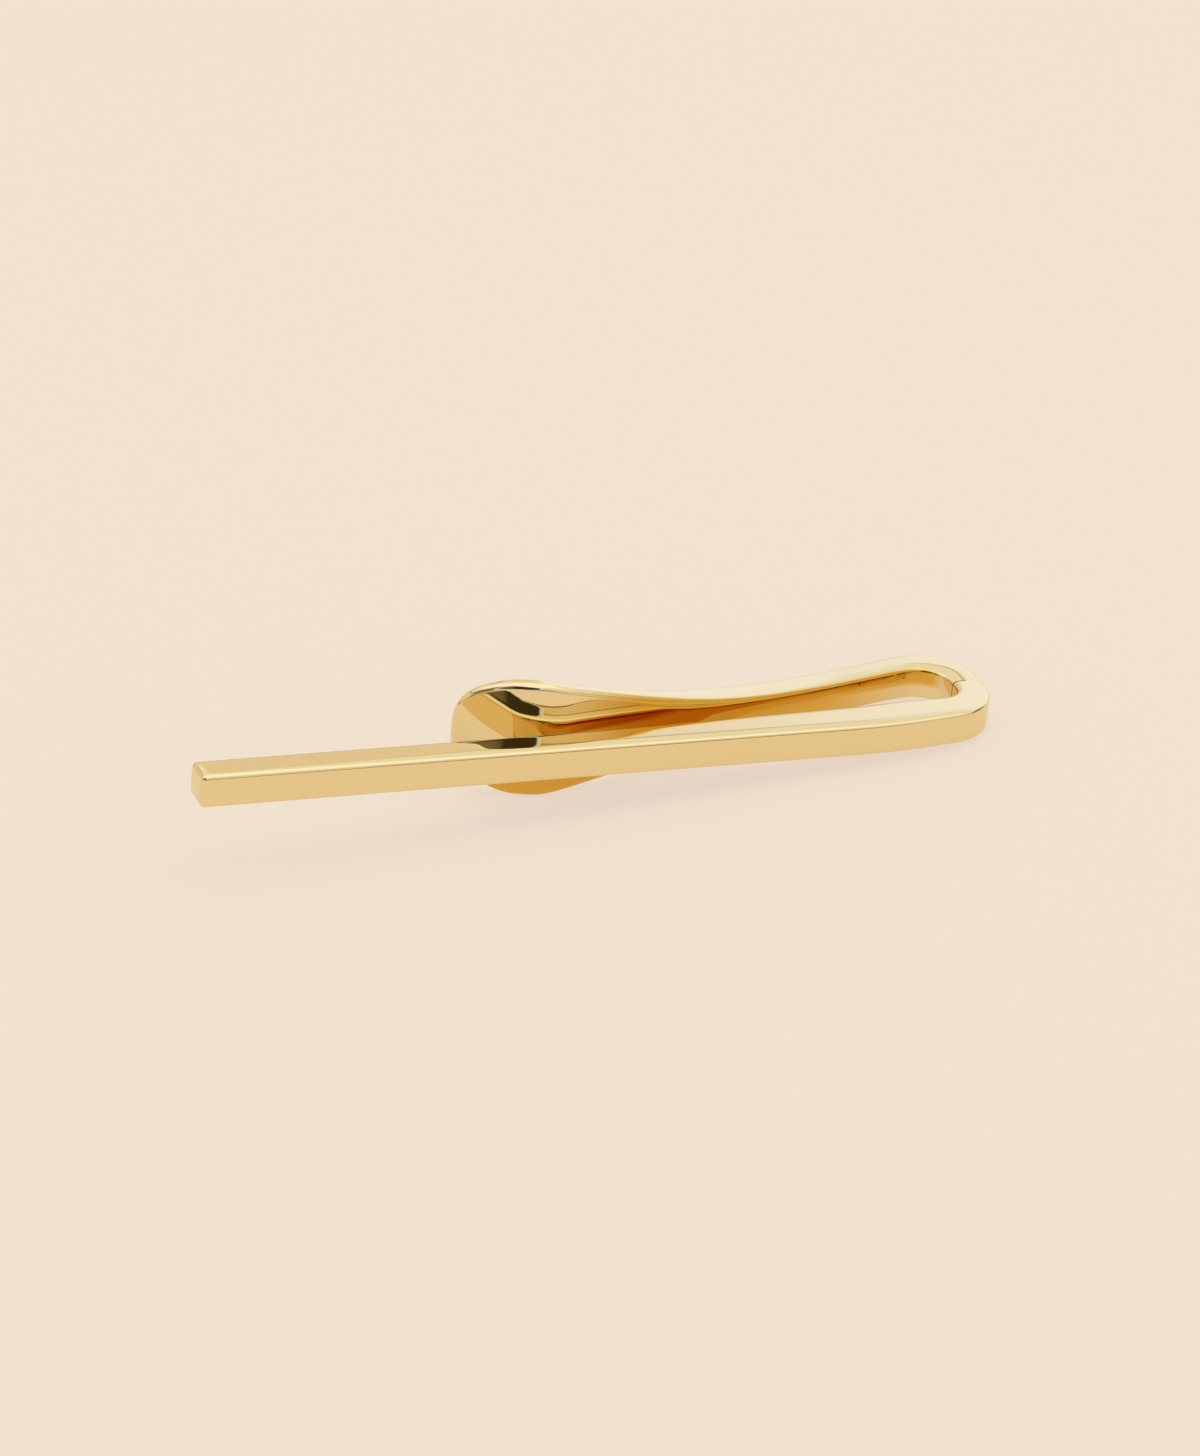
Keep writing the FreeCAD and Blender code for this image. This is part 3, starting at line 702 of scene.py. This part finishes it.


# Painted reflection and shade laid over the arm's plating on its gripping side.
paint_over(arm_gold, painted_gap_reflection(arm_gold.node_tree), painted_reflection_gold)
nose_margin = 0.1 * mm
last_plain = -crown_setback * ridge_radius / ridge_back_radius - nose_margin
arm_places = [PlainPlace(spot, way) for spot, way in gripping_side.stations()
              if (spot - paddle_root).dot(paddle_way) < last_plain]
arm_places += [NosePlace(spot, inward) for spot, inward in nose_line.stations(last_run=False)]
arm_mesh = bmesh.new()
arm_skin = weave([arm_ring(place) for place in arm_places], arm_mesh)
arm_mesh.faces.new(arm_skin[0])
nose_top = [arm_places[-1](depth, inset) for depth, inset in arm_places[-1].rim]
nose_end = []
for spot in nose_top:
    low = Vector((spot.x, spot.y, -spot.z))
    nose_end.append([low.lerp(spot, share) for share in eased_rows(0, arm_rows + 1)])
weave(nose_end, arm_mesh, closed=False)
polished_arm = finish_mesh("polished_arm", arm_mesh, arm_gold)
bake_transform(polished_arm)
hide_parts("spring_arm")


# Studio: a seamless sheet of cream paper under soft white light from all round, with a pale box light
# above. The polished gold also mirrors the room: a pale wall behind, brighter to the right, a duller
# line below the ceiling, and a dark place where the camera stands, with a pale board round it.
cream = (0.887, 0.768, 0.631)
paper_matt = (0.63, 0.63, 0.36, 1)
paper_glow = (0.965, 0.803, 0.720, 1)
paper_glow_share = 0.72
sheet_size = 4.0
view_yaw = math.radians(19.6)


def make_floor():
    """Sheet that glows a little, so that the clip's shadow on it stays faint."""
    bpy.ops.mesh.primitive_plane_add(size=sheet_size, location=(0, 0, 0))
    floor = bpy.context.object
    floor.name = "cream_sheet"
    paper = bpy.data.materials.new("cream_paper")
    paper.use_nodes = True
    tree = paper.node_tree
    matt = tree.nodes["Principled BSDF"]
    matt.inputs["Base Color"].default_value = paper_matt
    matt.inputs["Roughness"].default_value = 0.9
    matt.inputs["Specular IOR Level"].default_value = 0.0
    glow = add_node(tree, "ShaderNodeEmission", inputs={"Color": paper_glow, "Strength": 1.0})
    mix = add_node(tree, "ShaderNodeMixShader", inputs={"Fac": paper_glow_share})
    tree.links.new(matt.outputs["BSDF"], mix.inputs[1])
    tree.links.new(glow.outputs["Emission"], mix.inputs[2])
    tree.links.new(mix.outputs["Shader"], tree.nodes["Material Output"].inputs["Surface"])
    floor.data.materials.append(paper)


def room_way(azimuth, elevation):
    """Direction in the room: azimuth to the right of straight behind the clip as the camera sees it."""
    turn = view_yaw + math.radians(azimuth)
    rise = math.radians(elevation)
    return (math.sin(turn) * math.cos(rise), math.cos(turn) * math.cos(rise), math.sin(rise))


room_light = 0.78
wall = tuple(0.95 * part for part in cream)
below_ceiling = (0.40, 0.38, 0.36)
# What the metal mirrors at each height, from level (0) to straight up (1): the table's far edge, the
# wall, the duller line, the ceiling and the box light.
room_heights = (
    (0.0, (0.45, 0.36, 0.24)),
    (0.05, (0.5, 0.4, 0.28)),
    (0.09, wall),
    (0.43, wall),
    (0.445, below_ceiling),
    (0.49, below_ceiling),
    (0.52, (0.88, 0.88, 0.89)),
    (0.74, (0.92, 0.92, 0.93)),
    (0.80, (1.13, 1.15, 1.2)),
)
# Round things in the room, each over those before it: azimuth, elevation, where it is full and where it
# ends, in degrees, and colour.
room_patches = (
    (29, 14, 21.5, 26.5, (1.0, 1.06, 1.30)),    # bright wall on the right
    (-12, 42, 19.4, 20.4, (0.91, 0.90, 0.86)),  # pale board high on the left
    (75, 4, 10, 22, (0.12, 0.09, 0.05)),        # dark corner far to the right
    (180, -60, 73, 76, (0.16, 0.12, 0.06)),     # dark line low on the camera's side
    (225, 25, 10, 24, (0.22, 0.17, 0.09)),      # dark place on the camera's left
    (191, 29, 26.5, 28, (0.80, 0.90, 1.40)),    # pale board round the camera
    (191, 29, 21, 25, (0.05, 0.04, 0.02)),      # dark place where the camera stands
    (209, 29, 4, 13, (0.21, 0.20, 0.14)),       # its paler side
)


def mirrored_room(tree):
    """Colour of the room all round, as the metal mirrors it."""
    link = tree.links.new
    around = add_node(tree, "ShaderNodeTexCoord").outputs["Generated"]
    split = add_node(tree, "ShaderNodeSeparateXYZ")
    link(around, split.inputs["Vector"])
    heights = add_node(tree, "ShaderNodeValToRGB")
    ramp = heights.color_ramp
    for position, colour in room_heights[2:]:
        ramp.elements.new(position)
    for element, (position, colour) in zip(ramp.elements, room_heights):
        element.position = position
        element.color = (*colour, 1)
    link(split.outputs["Z"], heights.inputs["Fac"])
    shown = heights.outputs["Color"]
    for azimuth, elevation, full_at, none_at, colour in room_patches:
        toward_patch = add_node(tree, "ShaderNodeVectorMath", operation="DOT_PRODUCT",
                                inputs={1: room_way(azimuth, elevation)})
        link(around, toward_patch.inputs[0])
        edge = add_node(tree, "ShaderNodeMapRange", interpolation_type="SMOOTHSTEP",
                        inputs={"From Min": math.cos(math.radians(none_at)),
                                "From Max": math.cos(math.radians(full_at))})
        link(toward_patch.outputs["Value"], edge.inputs["Value"])
        patch = add_node(tree, "ShaderNodeMix", data_type="RGBA")
        link(edge.outputs["Result"], patch.inputs["Factor"])
        link(shown, patch.inputs["A"])
        patch.inputs["B"].default_value = (*colour, 1)
        shown = patch.outputs["Result"]
    return shown


def make_world():
    """Plain white light, with the room for the metal to mirror and cream paper for the camera."""
    world = bpy.data.worlds.new("studio_room")
    bpy.context.scene.world = world
    world.use_nodes = True
    tree = world.node_tree
    link = tree.links.new
    light = tree.nodes["Background"]
    light.inputs["Color"].default_value = (1, 1, 1, 1)
    light.inputs["Strength"].default_value = room_light
    room = add_node(tree, "ShaderNodeBackground", inputs={"Strength": 1.0})
    link(mirrored_room(tree), room.inputs["Color"])
    backdrop = add_node(tree, "ShaderNodeBackground", inputs={"Color": (*cream, 1), "Strength": 1.0})
    rays = add_node(tree, "ShaderNodeLightPath")
    mirrored = add_node(tree, "ShaderNodeMixShader")
    link(rays.outputs["Is Glossy Ray"], mirrored.inputs["Fac"])
    link(light.outputs["Background"], mirrored.inputs[1])
    link(room.outputs["Background"], mirrored.inputs[2])
    seen = add_node(tree, "ShaderNodeMixShader")
    link(rays.outputs["Is Camera Ray"], seen.inputs["Fac"])
    link(mirrored.outputs["Shader"], seen.inputs[1])
    link(backdrop.outputs["Background"], seen.inputs[2])
    link(seen.outputs["Shader"], tree.nodes["World Output"].inputs["Surface"])


def add_softbox(name, spot, aim, size, radiance):
    """Area light of a given brightness, aimed at a point, that the metal does not mirror."""
    light = bpy.data.lights.new(name, "AREA")
    light.shape = "RECTANGLE"
    light.size, light.size_y = size
    light.energy = radiance * math.pi * size[0] * size[1]
    lamp = bpy.data.objects.new(name, light)
    bpy.context.scene.collection.objects.link(lamp)
    lamp.location = spot
    lamp.visible_glossy = False
    lamp.rotation_euler = (Vector(aim) - Vector(spot)).to_track_quat("-Z", "Y").to_euler()


mirror_bounces = 24
make_floor()
make_world()
add_softbox("top_box", spot=(0.05, 0.05, 0.6), aim=(0, 0, 0), size=(0.6, 0.5), radiance=1.3)
bpy.context.scene.cycles.max_bounces = mirror_bounces
bpy.context.scene.cycles.glossy_bounces = mirror_bounces

view_elevation = math.radians(27.2)
view_distance = 450 * mm
view_right = Vector((math.cos(view_yaw), -math.sin(view_yaw), 0))
view_forward = Vector((math.cos(view_elevation) * math.sin(view_yaw),
                       math.cos(view_elevation) * math.cos(view_yaw), -math.sin(view_elevation)))
view_up = view_right.cross(view_forward)
bar_middle = clip_place @ Vector((27.5 * mm, 0, -1.1 * mm))
framing_left = 0.828 * mm
framing_up = 3.097 * mm
view_target = bar_middle - view_right * framing_left + view_up * framing_up
lens = bpy.data.cameras.new("long_lens")
lens.sensor_fit = "HORIZONTAL"
lens.sensor_width = 36.0
lens.lens = 211.6
lens.clip_start = 0.01
camera = bpy.data.objects.new("camera", lens)
bpy.context.scene.collection.objects.link(camera)
camera.matrix_world = Matrix.Translation(view_target - view_forward * view_distance) @ Matrix(
    (view_right, view_up, -view_forward)).transposed().to_4x4()
bpy.context.scene.camera = camera
bpy.context.scene.view_settings.view_transform = "Standard"
